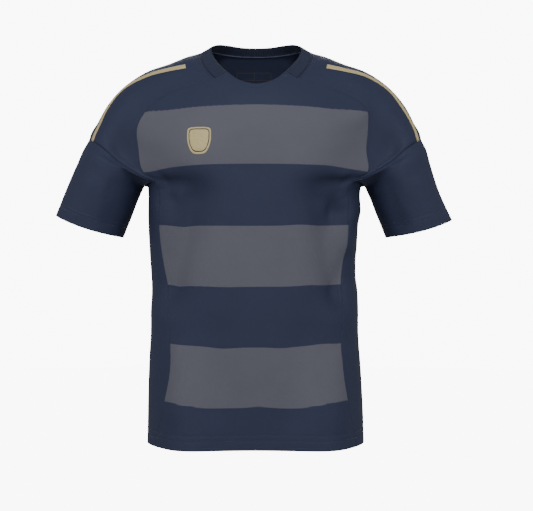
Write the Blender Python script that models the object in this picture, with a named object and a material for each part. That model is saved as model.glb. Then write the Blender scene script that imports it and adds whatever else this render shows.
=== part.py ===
"""Short-sleeved sports jersey, worn-shape, hollow and open at neck, cuffs and hem.

The cloth is one smooth surface, worked out from three short tables of sections
(yoke rings, body sections, sleeve sections) and a table of folds. Each sewn
piece is a part of that surface with its own wall, a narrow gap from the next.
The jersey faces -Y, its left sleeve is on the +X side and +Z is up. The origin
is on the neck's axis, level with the shoulders beside the collar.
"""

from collections import namedtuple
from math import pi

import bmesh
import bpy
import numpy as np

# Driving dimensions, in metres
MM = 0.001
WALL = 0.0012                 # knitted polyester, with its seams pressed flat
RIB_WALL = 0.0018             # doubled rib knit of the collar
BAND_WALL = 0.0008            # plain tape along each shoulder
SEAM_GAP = 0.0003
BAND_WIDTH = 0.012
RIB_RAISE = 0.0006            # each rib of the collar stands this far out
RIB_COLUMNS = 4               # columns of the collar for each column of the cloth, two to a rib

# How finely each stretch of cloth is divided
FRONT_HALF_COLUMNS = 10
BACK_HALF_COLUMNS = 8
SIDE_COLUMNS = 8
ARM_COLUMNS_BEFORE_BAND = 5
BAND_COLUMNS = 2
ARM_COLUMNS_BEHIND_BAND = 9
CURVE_SAMPLES = 24

# Yoke rings in millimetres, from the neck's edge out to the underarms. The
# rings cross the front, go over each shoulder and across the back. Each row
# has the centre front, the front raglan seam, how far the shoulder rounds out
# before its top, the top, the same behind it, the back seam and centre back,
# then how full the panels' middles are, how far in the left front seam lies, and
# the share of the way over the arm at which the shoulder tape starts.
Ring = namedtuple(
    "Ring",
    "front_y front_z seam_x seam_y seam_z round_front top_x top_y top_z "
    "round_back back_seam_x back_seam_y back_seam_z back_y back_z full left_seam_in band steps",
)
YOKE = (
    Ring(-87, -59, 51, -66, -34, 12, 79, 8, 22.5, 5, 50, 53, 32.5, 66, 30, 0.70, 0, 0.24, 1),
    Ring(-98, -77, 71, -75, -48, 12, 98, 8, 11.5, 6, 58, 66, 18, 75, 15, 0.72, 0, 0.24, 1),
    Ring(-106, -95, 110, -73, -60, 14, 124, 6, 3.5, 8, 98, 72, -4, 87, -9, 0.76, 0, 0.24, 2),
    Ring(-112, -115, 150, -69, -72, 15, 153, 4, -8.5, 12, 142, 77, -30, 96, -36, 0.80, 2, 0.26, 2),
    Ring(-118, -140, 191, -67, -103, 17, 197, 3, -24.5, 16, 184, 80, -70, 105, -72, 0.80, -3, 0.345, 2),
    Ring(-122, -165, 206, -67, -132, 22, 240, 2, -54, 22, 203, 80, -112, 112, -112, 0.80, 10, 0.38, 2),
    Ring(-125, -190, 203, -68, -172, 28, 268, 1, -87, 28, 203, 78, -160, 118, -155, 0.80, 9, 0.385, 2),
    Ring(-126, -213, 194, -70, -209, 33, 283.5, 0, -116, 33, 194, 76, -204, 122, -198, 0.80, -3, 0.378, 2),
    Ring(-127, -236, 172, -75, -228, 37, 298, 0, -147, 37, 172, 75, -228, 124, -236, 0.80, 0, 0.375, 1),
)
# Where each ring is fullest over the arm, as a share of the way from its seams to its top
ROUND_PLACES = (0.5, 0.5, 0.5, 0.5, 0.52, 0.57, 0.63, 0.70, 0.75)
PANEL_MIDDLE = 0.58           # where a panel's fullness is set, as a share of its seam's distance

# Body sections in millimetres, from the underarms down to the hem. Each is a
# rounded oblong; near the underarms its sides rise towards the sleeves. The
# right side's front seam lies a little further in at the waist.
Section = namedtuple("Section", "z rise side_x front_y back_y seam_x right_seam_in steps")
BODY = (
    Section(-236, 17, 194, -127, 124, 172, 0, 1),
    Section(-252, 16, 190.5, -127.5, 124, 170, 0, 1),
    Section(-290, 4, 190.5, -128, 123, 169, 0, 2),
    Section(-350, 0, 189, -129, 121, 168, 0, 3),
    Section(-420, 0, 187, -130, 120, 163, 2, 3),
    Section(-490, 0, 185.5, -130, 121, 148, 4, 3),
    Section(-550, 0, 189, -131, 124, 147, 6, 3),
    Section(-610, 0, 191.5, -131, 128, 155, 2, 3),
    Section(-687, 0, 193.5, -131, 131, 172, 0, 3),
)
ROUNDNESS = 2.5               # 2 is an ellipse, more is squarer
RISE_POWER = 6                # how late, going outward, a section's sides start to rise

# Sleeve sections in millimetres, from just past the drop seam to the cuff:
# the outer and the inner line of the sleeve, its half depth, the share of the
# half girth that lies under the arm, how far its front and back hang below a
# straight line, and how far the left one's outer line lies in and down.
SleeveSection = namedtuple(
    "SleeveSection", "outer_x outer_z inner_x inner_z depth under bow left_in left_down steps"
)
SLEEVE = (
    SleeveSection(304.5, -160, 199, -232, 74, 0.30, 0, 0, 0, 1),
    SleeveSection(318.5, -192, 208, -252, 73, 0.28, 1, 3, 1, 2),
    SleeveSection(337.5, -236, 222, -289, 69, 0.27, 3, 7, 3, 2),
    SleeveSection(357, -284, 236.5, -324, 65, 0.26, 5, 2, 8, 2),
)
SLEEVE_BAND = 0.375           # the columns keep the tape's place below its end

# How far the cloth leans towards its left at each height, in millimetres
Lean = namedtuple("Lean", "z shift")
LEANS = (Lean(-700, 2), Lean(-640, 1.8), Lean(-520, 0), Lean(-200, 0), Lean(-100, 2.6), Lean(30, 3.2))

NECK_ROW = YOKE[1].steps      # the row of the collar's seam
BAND_FIRST_ROW = YOKE[1].steps + YOKE[2].steps
SHARP_ANGLE = 1.0             # radians; only the cut edges turn more sharply

# Base colours, linear
NAVY = (0.023, 0.036, 0.071)
RIB_NAVY = (0.020, 0.031, 0.061)
GOLD = (0.40, 0.34, 0.20)


def vector(x, y, z):
    """A point in millimetres as metres."""
    return np.array([x, y, z], float) * MM


def mirrored(points):
    return points * np.array([-1.0, 1.0, 1.0])


def unit(vectors):
    length = np.linalg.norm(vectors, axis=-1, keepdims=True)
    return vectors / np.maximum(length, 1e-9)


def curve_through(points, knots, at):
    """A smooth curve that passes each point at its knot, read at given places."""
    points = np.asarray(points, float)
    knots = np.asarray(knots, float)
    shape = (-1,) + (1,) * (points.ndim - 1)
    spans = np.diff(knots).reshape(shape)
    slopes = np.diff(points, axis=0) / spans
    middle = (slopes[:-1] * spans[1:] + slopes[1:] * spans[:-1]) / (spans[1:] + spans[:-1])
    tangents = np.concatenate([slopes[:1], middle, slopes[-1:]])
    span = np.clip(np.searchsorted(knots, at, side="right") - 1, 0, len(knots) - 2)
    width = np.diff(knots)[span]
    t = ((at - knots[span]) / width).reshape(shape)
    width = width.reshape(shape)
    return (
        (2 * t**3 - 3 * t**2 + 1) * points[span]
        + (t**3 - 2 * t**2 + t) * width * tangents[span]
        + (3 * t**2 - 2 * t**3) * points[span + 1]
        + (t**3 - t**2) * width * tangents[span + 1]
    )


def chord_knots(points):
    """Knots spaced as the points are."""
    steps = np.linalg.norm(np.diff(points, axis=0), axis=-1)
    return np.concatenate([[0.0], np.cumsum(steps)])


def spaced(points, shares):
    """The points at the given shares of the curve's length."""
    along = chord_knots(points)
    places = np.asarray(shares) * along[-1]
    return np.stack([np.interp(places, along, points[:, axis]) for axis in range(3)], axis=1)


def evenly(points, columns):
    return spaced(points, np.linspace(0, 1, columns + 1))


def over_arm(points, band_start):
    """Points over the arm from front to back, with columns along both edges of the tape."""
    band_end = band_start + BAND_WIDTH / chord_knots(points)[-1]
    shares = np.concatenate([
        np.linspace(0, band_start, ARM_COLUMNS_BEFORE_BAND + 1),
        np.linspace(band_start, band_end, BAND_COLUMNS + 1)[1:],
        np.linspace(band_end, 1, ARM_COLUMNS_BEHIND_BAND + 1)[1:],
    ])
    return spaced(points, shares)


def rounded_out(seam, top, centre, bulge, share):
    """A point on the way from a seam to the top, moved away from the arm's centre."""
    middle = seam + (top - seam) * share
    chord = unit(top - seam)
    outward = middle - centre
    outward = outward - chord * outward.dot(chord)
    return middle + unit(outward) * bulge * MM


def yoke_ring(ring, left):
    """Half a ring as three stretches: centre front to seam, over the arm, seam to centre back."""
    front = vector(0, ring.front_y, ring.front_z)
    seam = vector(ring.seam_x - left * ring.left_seam_in, ring.seam_y, ring.seam_z)
    top = vector(ring.top_x, ring.top_y, ring.top_z)
    back_seam = vector(ring.back_seam_x, ring.back_seam_y, ring.back_seam_z)
    back = vector(0, ring.back_y, ring.back_z)
    centre = (seam + top + back_seam) / 3
    fullest = ROUND_PLACES[YOKE.index(ring)]
    front_middle = seam + (front - seam) * ring.full
    front_middle[0] = seam[0] * PANEL_MIDDLE
    back_middle = back_seam + (back - back_seam) * ring.full
    back_middle[0] = back_seam[0] * PANEL_MIDDLE
    half = [
        mirrored(front_middle),
        front,
        front_middle,
        seam,
        rounded_out(seam, top, centre, ring.round_front, fullest),
        top,
        rounded_out(back_seam, top, centre, ring.round_back, fullest),
        back_seam,
        back_middle,
        back,
        mirrored(back_middle),
    ]
    half = np.array(half)
    knots = chord_knots(half)

    def stretch(first, last):
        places = np.linspace(knots[first], knots[last], CURVE_SAMPLES * (last - first) + 1)
        return curve_through(half, knots, places)

    return (
        evenly(stretch(1, 3), FRONT_HALF_COLUMNS),
        over_arm(stretch(3, 7), ring.band),
        evenly(stretch(7, 9), BACK_HALF_COLUMNS),
    )


def body_section(section, left):
    """Half a section as three stretches: centre front to seam, round the side, seam to centre back."""
    def place(angle):
        across = np.sin(angle)
        depth = np.cos(angle)
        power = 2 / ROUNDNESS
        x = section.side_x * np.abs(across) ** power
        reach = np.where(depth > 0, -section.front_y, section.back_y)
        y = -np.sign(depth) * reach * np.abs(depth) ** power
        z = section.z + section.rise * (x / section.side_x) ** RISE_POWER
        return np.stack([x, y, z], axis=-1) * MM

    front_seam = section.seam_x - (1 - left) * section.right_seam_in
    front_turn = np.arcsin((front_seam / section.side_x) ** (ROUNDNESS / 2))
    back_turn = pi - np.arcsin((section.seam_x / section.side_x) ** (ROUNDNESS / 2))
    samples = CURVE_SAMPLES * 4
    return (
        evenly(place(np.linspace(0, front_turn, samples)), FRONT_HALF_COLUMNS),
        evenly(place(np.linspace(front_turn, back_turn, samples)), SIDE_COLUMNS),
        evenly(place(np.linspace(back_turn, pi, samples)), BACK_HALF_COLUMNS),
    )


def sleeve_section(section, left):
    """A sleeve ring as two stretches: over the arm, and under it, both front to back."""
    outer = vector(
        section.outer_x - left * section.left_in, 0, section.outer_z - left * section.left_down
    )
    inner = vector(section.inner_x, 0, section.inner_z)
    centre = (outer + inner) / 2
    across = (outer - inner) / 2
    front = vector(0, -section.depth, 0)
    turn = pi * (1 - section.under)

    def place(angle):
        points = centre + np.cos(angle)[:, None] * across + np.sin(angle)[:, None] * front
        points[:, 2] -= section.bow * MM * np.sin(angle) ** 2
        return points

    samples = CURVE_SAMPLES * 4
    return (
        over_arm(place(np.linspace(turn, -turn, samples)), SLEEVE_BAND),
        evenly(place(np.linspace(turn, 2 * pi - turn, samples)), SIDE_COLUMNS),
    )


def filled_rows(rows, steps):
    """Key rows joined smoothly column by column, with the asked number of steps before each row."""
    rows = np.array(rows)
    columns = []
    for column in range(rows.shape[1]):
        knots = chord_knots(rows[:, column])
        places = [knots[0]]
        for index, count in enumerate(steps[1:]):
            places.extend(np.linspace(knots[index], knots[index + 1], count + 1)[1:])
        columns.append(curve_through(rows[:, column], knots, np.array(places)))
    return np.stack(columns, axis=1)


def drawn_to(sheet, column, target):
    """Moves one edge column of a sheet onto a target and fades the move across the sheet."""
    share = np.linspace(1, 0, sheet.shape[1])
    if column == -1:
        share = share[::-1]
    share = share * share * (3 - 2 * share)
    return sheet + (target - sheet[:, column])[:, None, :] * share[None, :, None]


def half_garment(left):
    """One half, on the +X side, as named sheets of points; left is 1 for the left sleeve."""
    rings = [yoke_ring(ring, left) for ring in YOKE]
    sections = [body_section(section, left) for section in BODY]
    sleeves = [sleeve_section(section, left) for section in SLEEVE]
    yoke_steps = [ring.steps for ring in YOKE]
    body_steps = [section.steps for section in BODY]
    sleeve_steps = [section.steps for section in SLEEVE]
    yoke_rows = sum(yoke_steps[1:])
    sleeve_rows = sum(sleeve_steps)

    long_steps = yoke_steps + body_steps[1:]
    front = filled_rows([r[0] for r in rings] + [s[0] for s in sections[1:]], long_steps)
    back = filled_rows([r[2] for r in rings] + [s[2] for s in sections[1:]], long_steps)
    arm = filled_rows([r[1] for r in rings] + [s[0] for s in sleeves], yoke_steps + sleeve_steps)
    under = [s[1] for s in reversed(sleeves)] + [s[1] for s in sections]
    under_steps = [1] + sleeve_steps[:0:-1] + [sleeve_steps[0]] + body_steps[1:]
    under = filled_rows(under, under_steps)

    yoke_arm = arm[: yoke_rows + 1]
    yoke_arm = drawn_to(yoke_arm, 0, front[: yoke_rows + 1, -1])
    yoke_arm = drawn_to(yoke_arm, -1, back[: yoke_rows + 1, 0])
    low_arm = arm[yoke_rows:].copy()
    low_arm[0] = yoke_arm[-1]
    low_under = under[sleeve_rows::-1]
    side = under[sleeve_rows:]
    side = drawn_to(side, 0, front[yoke_rows:, -1])
    side = drawn_to(side, -1, back[yoke_rows:, 0])
    low_under = drawn_to(low_under, 0, low_arm[:, 0])
    low_under = drawn_to(low_under, -1, low_arm[:, -1])
    side[0] = low_under[0]
    return {
        "front": front,
        "arm": yoke_arm,
        "back": back,
        "side": side,
        "sleeve_over": low_arm,
        "sleeve_under": low_under,
    }


# Folds in millimetres, seen from the front or the back: where each starts and
# ends, its width, and its depth (troughs above zero, ridges below).
Fold = namedtuple("Fold", "x_top z_top x_end z_end width depth")
FRONT_FOLDS = (
    Fold(-103, -230, -153, -436, 38, 16.0),
    Fold(112, -230, 148, -436, 36, 16.0),
    Fold(-66, -470, -74, -640, 28, 3.0),
    Fold(78, -480, 68, -650, 26, 3.0),
    Fold(-128, -500, -132, -640, 18, -3.0),
    Fold(140, -520, 146, -650, 18, -3.0),
    Fold(176, -350, 140, -440, 16, 5.0),
    Fold(198, -288, 178, -408, 20, 5.0),
    Fold(-236, -226, -258, -306, 16, 2.5),
    Fold(230, -222, 258, -310, 15, 4.0),
    Fold(-284, -222, -312, -290, 16, -2.0),
    Fold(284, -222, 316, -296, 16, -2.0),
)
BACK_FOLDS = (
    Fold(-152, -236, -112, -318, 18, 6.0),
    Fold(150, -238, 116, -304, 18, 5.0),
    Fold(198, -288, 180, -400, 20, 5.0),
    Fold(-96, -250, -82, -430, 28, 4.0),
    Fold(90, -262, 98, -420, 28, 4.0),
    Fold(-30, -420, -44, -640, 36, 4.0),
    Fold(52, -400, 60, -620, 34, 4.0),
    Fold(-126, -470, -130, -630, 20, -3.0),
    Fold(124, -500, 132, -650, 20, -3.0),
    Fold(0, -60, 6, -170, 40, 2.5),
    Fold(-224, -218, -250, -300, 15, 4.0),
    Fold(222, -214, 256, -306, 15, 4.0),
    Fold(-286, -218, -312, -288, 16, -2.0),
    Fold(284, -224, 314, -294, 16, -2.0),
)

# Broad dents and swells in millimetres: the middle of each, how far it reaches
# towards the jersey's middle, towards its side, up and down, and its depth.
Dent = namedtuple("Dent", "x z inner outer up down depth")
FRONT_DENTS = (
    Dent(-92, -196, 50, 45, 50, 66, -4.0),
    Dent(92, -196, 50, 45, 50, 66, -4.0),
    Dent(-236, -170, 22, 18, 34, 30, 7.0),
    Dent(238, -170, 22, 18, 34, 30, 8.0),
    Dent(0, -690, 76, 76, 130, 40, 12.0),
    Dent(-151, -256, 15, 14, 28, 26, 9.0),
    Dent(149, -282, 16, 16, 34, 30, 13.0),
    Dent(178, -246, 12, 10, 18, 20, 5.0),
    Dent(-124, -720, 44, 34, 170, 60, -16.0),
    Dent(130, -720, 44, 34, 170, 60, -16.0),
)
BACK_DENTS = (
    Dent(-86, -206, 55, 50, 55, 45, -4.0),
    Dent(88, -204, 55, 50, 55, 45, -4.0),
    Dent(-144, -326, 42, 20, 70, 90, 11.0),
    Dent(146, -336, 42, 20, 70, 84, 11.0),
    Dent(-236, -168, 22, 18, 34, 30, 6.0),
    Dent(236, -170, 22, 18, 34, 30, 6.0),
    Dent(6, -690, 84, 80, 120, 40, 8.0),
    Dent(-150, -256, 17, 15, 26, 30, 9.0),
    Dent(150, -260, 17, 15, 26, 30, 9.0),
    Dent(-118, -700, 36, 34, 120, 40, -6.0),
    Dent(122, -700, 36, 34, 120, 40, -6.0),
)
FOLD_TURN = 0.012             # depth over which front folds give way to back ones
FOLD_RUN_OUT = 0.15           # a fold fades out over this share of its length, inside and past each end


def fold_depth(points, folds):
    """How far in the cloth lies at each point, each fold fading out past its ends."""
    depth = np.zeros(points.shape[:-1])
    for fold in folds:
        start = np.array([fold.x_top, fold.z_top]) * MM
        run = np.array([fold.x_end, fold.z_end]) * MM - start
        offset = points[..., [0, 2]] - start
        share = offset @ run / run.dot(run)
        aside = np.abs(offset[..., 0] * run[1] - offset[..., 1] * run[0]) / np.linalg.norm(run)
        inside = np.minimum(share, 1 - share)
        ends = np.clip((inside + FOLD_RUN_OUT) / (2 * FOLD_RUN_OUT), 0, 1)
        ends = ends * ends * (3 - 2 * ends)
        depth += fold.depth * MM * ends * np.exp(-((aside / (fold.width * MM)) ** 2))
    return depth


def dent_depth(points, dents):
    """How far in the cloth lies at each point for the broad dents."""
    depth = np.zeros(points.shape[:-1])
    for dent in dents:
        across = (points[..., 0] - dent.x * MM) * (1 if dent.x > 0 else -1)
        across = across / (np.where(across > 0, dent.outer, dent.inner) * MM)
        down = points[..., 2] - dent.z * MM
        down = down / (np.where(down > 0, dent.up, dent.down) * MM)
        depth += dent.depth * MM * np.exp(-(across**2) - down**2)
    return depth


def surface_normals(sheets, open_underarm=False):
    """Outward normals at every point, shared where sheets meet.

    With open_underarm, the edge between a side and its sleeve keeps two
    normals, one for each side of the cleft.
    """
    corners = []
    for name, sheet in sheets.items():
        tagged = np.zeros(sheet.shape[:2] + (4,))
        tagged[..., :3] = sheet
        if open_underarm and "sleeve_under" in name:
            tagged[0, 1:-1, 3] = 1
        corners.append(tagged.reshape(-1, 4))
    places, weld = np.unique(np.round(np.concatenate(corners), 6), axis=0, return_inverse=True)
    weld = weld.reshape(-1)
    places = places[:, :3]
    total = np.zeros_like(places)
    first = 0
    for sheet in sheets.values():
        rows, columns = sheet.shape[:2]
        index = weld[first : first + rows * columns].reshape(rows, columns)
        first += rows * columns
        square = (index[:-1, :-1], index[:-1, 1:], index[1:, 1:], index[1:, :-1])
        facing = np.cross(places[square[3]] - places[square[1]], places[square[2]] - places[square[0]])
        for corner in square:
            np.add.at(total, corner, facing)
    normals = unit(total)[weld]
    result = {}
    first = 0
    for name, sheet in sheets.items():
        count = sheet.shape[0] * sheet.shape[1]
        result[name] = normals[first : first + count].reshape(sheet.shape)
        first += count
    return result


def whole_garment():
    """Both halves with their folds, as sheets and their normals, all facing out."""
    sheets = {}
    heights = [lean.z * MM for lean in LEANS]
    shifts = [lean.shift * MM for lean in LEANS]
    for side in ("right", "left"):
        for name, sheet in half_garment(side == "left").items():
            if name == "sleeve_under":
                sheet = sheet[:, ::-1]
            if side == "right":
                sheet = mirrored(sheet)[:, ::-1]
            sheet = sheet.copy()
            sheet[..., 0] += np.interp(sheet[..., 2], heights, shifts)
            sheets[f"{side} {name}"] = sheet
    normals = surface_normals(sheets)
    for name, sheet in sheets.items():
        front_share = 1 / (1 + np.exp(sheet[..., 1] / FOLD_TURN))
        front = fold_depth(sheet, FRONT_FOLDS) + dent_depth(sheet, FRONT_DENTS)
        back = fold_depth(sheet, BACK_FOLDS) + dent_depth(sheet, BACK_DENTS)
        depth = front * front_share + back * (1 - front_share)
        sheets[name] = sheet - normals[name] * depth[..., None]
    return sheets, surface_normals(sheets, open_underarm=True)


def joined(sheets, names, rows=slice(None)):
    """Neighbouring sheets as one, side by side, each sharing an edge with the next."""
    parts = [sheets[names[0]][rows]]
    for name in names[1:]:
        parts.append(sheets[name][rows, 1:])
    return np.concatenate(parts, axis=1)


def trimmed(points, normals, ring):
    """Draws a sheet's edges in by half a seam gap, within the cloth's own surface."""
    points = points.copy()

    def draw(edge, inner, facing):
        toward = inner - edge
        toward = toward - facing * (toward * facing).sum(axis=-1, keepdims=True)
        return edge + unit(toward) * (SEAM_GAP / 2)

    if not ring:
        points[:, 0] = draw(points[:, 0], points[:, 1], normals[:, 0])
        points[:, -1] = draw(points[:, -1], points[:, -2], normals[:, -1])
    points[0] = draw(points[0], points[1], normals[0])
    points[-1] = draw(points[-1], points[-2], normals[-1])
    return points


def cloth_wall(name, outer, normals, thickness, material, ring=False, relief=0.0):
    """A closed wall of cloth: the outer sheet, the inner one, and the cut edges between."""
    outer = trimmed(outer, normals, ring)
    inner = outer - normals * thickness
    outer = outer + normals * relief
    if ring:
        outer = outer[:, :-1]
        inner = inner[:, :-1]
    rows, columns = outer.shape[:2]
    count = rows * columns
    index = np.arange(count).reshape(rows, columns)
    if ring:
        index = np.concatenate([index, index[:, :1]], axis=1)
    faces = []

    def add_strip(first, second, third, fourth):
        faces.extend(np.stack([first, second, third, fourth], axis=-1).reshape(-1, 4).tolist())

    add_strip(index[:-1, :-1], index[1:, :-1], index[1:, 1:], index[:-1, 1:])
    under = index + count
    add_strip(under[:-1, :-1], under[:-1, 1:], under[1:, 1:], under[1:, :-1])
    add_strip(index[0, :-1], index[0, 1:], under[0, 1:], under[0, :-1])
    add_strip(index[-1, :-1], under[-1, :-1], under[-1, 1:], index[-1, 1:])
    if not ring:
        add_strip(index[:-1, 0], under[:-1, 0], under[1:, 0], index[1:, 0])
        add_strip(index[:-1, -1], index[1:, -1], under[1:, -1], under[:-1, -1])
    mesh = bpy.data.meshes.new(name)
    mesh.from_pydata(np.concatenate([outer.reshape(-1, 3), inner.reshape(-1, 3)]).tolist(), [], faces)
    shell = bmesh.new()
    shell.from_mesh(mesh)
    bmesh.ops.recalc_face_normals(shell, faces=shell.faces)
    shell.to_mesh(mesh)
    shell.free()
    mesh.shade_smooth()
    mesh.set_sharp_from_angle(angle=SHARP_ANGLE)
    mesh.materials.append(material)
    piece = bpy.data.objects.new(name, mesh)
    bpy.data.collections["sports_jersey"].objects.link(piece)
    return piece


def make_material(name, color, roughness):
    material = bpy.data.materials.new(name)
    material.use_nodes = True
    shader = material.node_tree.nodes["Principled BSDF"]
    shader.inputs["Base Color"].default_value = (*color, 1.0)
    shader.inputs["Roughness"].default_value = roughness
    shader.inputs["Metallic"].default_value = 0.0
    return material


def front_and_back(sheets, normals, navy):
    for name, order, first_row in (
        ("front_panel", ["right front", "left front"], 0),
        ("back_panel", ["left back", "right back"], NECK_ROW),
    ):
        rows = slice(first_row, None)
        cloth_wall(name, joined(sheets, order, rows), joined(normals, order, rows), WALL, navy)


def sides_and_shoulders(sheets, normals, navy):
    for side in ("left", "right"):
        panel = f"{side} side"
        cloth_wall(f"side_panel_{side}", sheets[panel], normals[panel], WALL, navy)
        arm = f"{side} arm"
        cloth_wall(
            f"shoulder_panel_{side}", sheets[arm][NECK_ROW:], normals[arm][NECK_ROW:], WALL, navy
        )


def sleeves(sheets, normals, navy):
    for side in ("left", "right"):
        order = [f"{side} sleeve_over", f"{side} sleeve_under"]
        cloth_wall(
            f"sleeve_{side}", joined(sheets, order), joined(normals, order), WALL, navy, ring=True
        )


def refined(points, count):
    """The same rows with more columns, all of them on the straight lines between the old ones."""
    old = np.arange(points.shape[1])
    new = np.linspace(0, old[-1], old[-1] * count + 1)
    rows = [[np.interp(new, old, row[:, axis]) for axis in range(3)] for row in points]
    return np.moveaxis(np.array(rows), 1, 2)


def collar(sheets, normals, rib):
    """The rib knit round the neck, its ribs raised on the outside, plain within."""
    order = ["left arm", "left back", "right back", "right arm"]
    rows = slice(0, NECK_ROW + 1)
    outer = refined(joined(sheets, order, rows), RIB_COLUMNS)
    facing = unit(refined(joined(normals, order, rows), RIB_COLUMNS))
    relief = np.zeros((1, outer.shape[1], 1))
    relief[:, 1::2] = RIB_RAISE
    cloth_wall("collar_rib", outer, facing, RIB_WALL, rib, relief=relief)


def shoulder_bands(sheets, normals, gold):
    """Tapes on the shoulder panels, made from the panels' own points and moved out."""
    for side in ("left", "right"):
        arm = f"{side} arm"
        first = ARM_COLUMNS_BEFORE_BAND if side == "left" else ARM_COLUMNS_BEHIND_BAND
        columns = slice(first, first + BAND_COLUMNS + 1)
        facing = normals[arm][BAND_FIRST_ROW:, columns]
        panel = sheets[arm][BAND_FIRST_ROW:, columns]
        outer = panel + facing * (SEAM_GAP + BAND_WALL)
        cloth_wall(f"shoulder_band_{side}", outer, facing, BAND_WALL, gold)


def main():
    for leftover in list(bpy.data.objects):
        bpy.data.objects.remove(leftover, do_unlink=True)
    parts = bpy.data.collections.new("sports_jersey")
    bpy.context.scene.collection.children.link(parts)
    navy = make_material("navy knit", NAVY, 0.85)
    rib = make_material("navy rib knit", RIB_NAVY, 0.9)
    gold = make_material("gold tape", GOLD, 0.6)
    sheets, normals = whole_garment()
    front_and_back(sheets, normals, navy)
    sides_and_shoulders(sheets, normals, navy)
    sleeves(sheets, normals, navy)
    collar(sheets, normals, rib)
    shoulder_bands(sheets, normals, gold)


main()
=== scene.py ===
# Short-sleeved sports jersey: its cloth, sewing and finishes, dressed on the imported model
# Metres, +Z up, front towards -Y, the wearer's left towards +X

from collections import namedtuple
from math import pi, radians

import bpy
import numpy as np
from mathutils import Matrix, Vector
from mathutils.bvhtree import BVHTree


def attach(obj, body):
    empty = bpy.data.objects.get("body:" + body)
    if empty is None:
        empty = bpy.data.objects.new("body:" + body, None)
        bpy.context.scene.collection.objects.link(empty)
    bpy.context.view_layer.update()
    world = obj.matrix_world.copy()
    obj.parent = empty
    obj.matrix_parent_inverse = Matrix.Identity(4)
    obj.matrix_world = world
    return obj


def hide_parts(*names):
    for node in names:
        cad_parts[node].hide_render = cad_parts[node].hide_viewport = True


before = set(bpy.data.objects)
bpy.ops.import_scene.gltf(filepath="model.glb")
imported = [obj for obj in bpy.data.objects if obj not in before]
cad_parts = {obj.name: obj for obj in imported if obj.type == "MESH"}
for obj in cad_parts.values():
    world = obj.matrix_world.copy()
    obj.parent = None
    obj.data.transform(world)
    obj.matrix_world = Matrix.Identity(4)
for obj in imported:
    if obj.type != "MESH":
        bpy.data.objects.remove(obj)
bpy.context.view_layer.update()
mm = 0.001


# The cut of the jersey, the same sections as the model's own

# yoke rings from the neck's edge out to the underarms: centre front, raglan seam, shoulder
# top, back seam, centre back, how full the panels are, and where the shoulder tape starts
yokeRing = namedtuple(
    "yokeRing",
    "frontY frontZ seamX seamY seamZ roundFront topX topY topZ "
    "roundBack backSeamX backSeamY backSeamZ backY backZ full leftSeamIn tape",
)
yokeRings = tuple(yokeRing(*row) for row in (
    (-87, -59, 51, -66, -34, 12, 79, 8, 22.5, 5, 50, 53, 32.5, 66, 30, 0.70, 0, 0.24),
    (-98, -77, 71, -75, -48, 12, 98, 8, 11.5, 6, 58, 66, 18, 75, 15, 0.72, 0, 0.24),
    (-106, -95, 110, -73, -60, 14, 124, 6, 3.5, 8, 98, 72, -4, 87, -9, 0.76, 0, 0.24),
    (-112, -115, 150, -69, -72, 15, 153, 4, -8.5, 12, 142, 77, -30, 96, -36, 0.80, 2, 0.26),
    (-118, -140, 191, -67, -103, 17, 197, 3, -24.5, 16, 184, 80, -70, 105, -72, 0.80, -3, 0.345),
    (-122, -165, 206, -67, -132, 22, 240, 2, -54, 22, 203, 80, -112, 112, -112, 0.80, 10, 0.38),
    (-125, -190, 203, -68, -172, 28, 268, 1, -87, 28, 203, 78, -160, 118, -155, 0.80, 9, 0.385),
    (-126, -213, 194, -70, -209, 33, 283.5, 0, -116, 33, 194, 76, -204, 122, -198, 0.80, -3, 0.378),
    (-127, -236, 172, -75, -228, 37, 298, 0, -147, 37, 172, 75, -228, 124, -236, 0.80, 0, 0.375),
))

# body sections from the underarms down to the hem
bodySection = namedtuple("bodySection", "z rise sideX frontY backY seamX rightSeamIn")
bodySections = (
    bodySection(-236, 17, 194, -127, 124, 172, 0),
    bodySection(-252, 16, 190.5, -127.5, 124, 170, 0),
    bodySection(-290, 4, 190.5, -128, 123, 169, 0),
    bodySection(-350, 0, 189, -129, 121, 168, 0),
    bodySection(-420, 0, 187, -130, 120, 163, 2),
    bodySection(-490, 0, 185.5, -130, 121, 148, 4),
    bodySection(-550, 0, 189, -131, 124, 147, 6),
    bodySection(-610, 0, 191.5, -131, 128, 155, 2),
    bodySection(-687, 0, 193.5, -131, 131, 172, 0),
)

# sleeve sections from just past the drop seam to the cuff
sleeveSection = namedtuple(
    "sleeveSection", "outerX outerZ innerX innerZ depth under bow leftIn leftDown"
)
sleeveSections = (
    sleeveSection(304.5, -160, 199, -232, 74, 0.30, 0, 0, 0),
    sleeveSection(318.5, -192, 208, -252, 73, 0.28, 1, 3, 1),
    sleeveSection(337.5, -236, 222, -289, 69, 0.27, 3, 7, 3),
    sleeveSection(357, -284, 236.5, -324, 65, 0.26, 5, 2, 8),
)

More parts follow.
